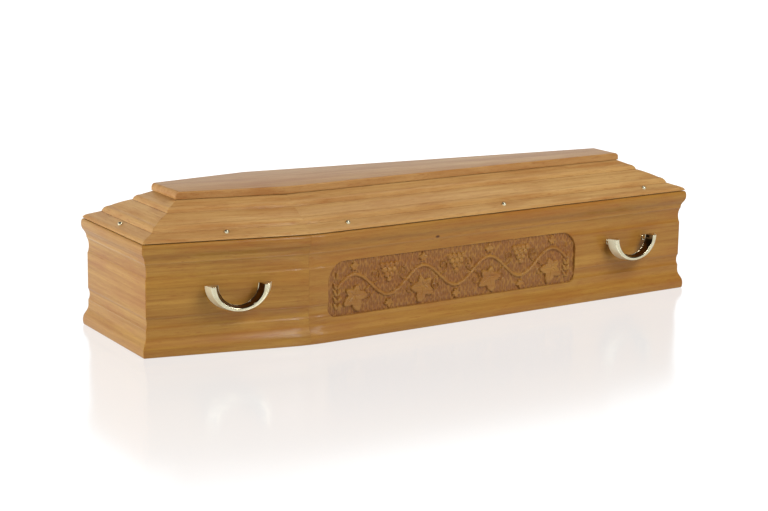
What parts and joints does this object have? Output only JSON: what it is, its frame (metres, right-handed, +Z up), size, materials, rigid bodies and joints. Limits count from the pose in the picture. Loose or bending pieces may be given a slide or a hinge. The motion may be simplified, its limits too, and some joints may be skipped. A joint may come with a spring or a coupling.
{
  "type": "wooden coffin",
  "caption": "Six-sided wooden coffin with moulded walls, a raised stepped lid with a flat top board, crescent handles and a carved vine along its front.",
  "frame": {"origin": "on the floor under the middle of the plan", "axes": "+X from the head end to the foot end, -Y out of the carved front, +Z up"},
  "size_m": [2, 0.674, 0.4546],
  "materials": {
    "wall_wood": "honey-coloured hardwood with straight grain, satin varnish",
    "lid_wood": "honey-coloured hardwood with straight grain, satin varnish",
    "bottom_wood": "plain sawn board, unvarnished",
    "handle_brass": "pale brass, polished to a mirror",
    "screw_brass": "pale brass, worn satin"
  },
  "bodies": {
    "root": {"bottom_board": "bottom_wood", "front_head_side_plank": "wall_wood", "front_foot_side_plank": "wall_wood", "foot_end_plank": "wall_wood", "back_foot_side_plank": "wall_wood", "back_head_side_plank": "wall_wood", "head_end_plank": "wall_wood", "lid_front_head_moulding": "lid_wood", "lid_front_foot_moulding": "lid_wood", "lid_foot_moulding": "lid_wood", "lid_back_foot_moulding": "lid_wood", "lid_back_head_moulding": "lid_wood", "lid_head_moulding": "lid_wood", "lid_top_board": "lid_wood", "handle_front_head": "handle_brass", "handle_front_foot": "handle_brass", "handle_back_foot": "handle_brass", "handle_back_head": "handle_brass", "lid_screw_front_1": "screw_brass", "lid_screw_front_2": "screw_brass", "lid_screw_front_3": "screw_brass", "lid_screw_front_4": "screw_brass", "lid_screw_back_1": "screw_brass", "lid_screw_back_2": "screw_brass", "lid_screw_back_3": "screw_brass", "lid_screw_back_4": "screw_brass", "lid_screw_head": "screw_brass", "lid_screw_foot": "screw_brass"}
  },
  "joints": []
}
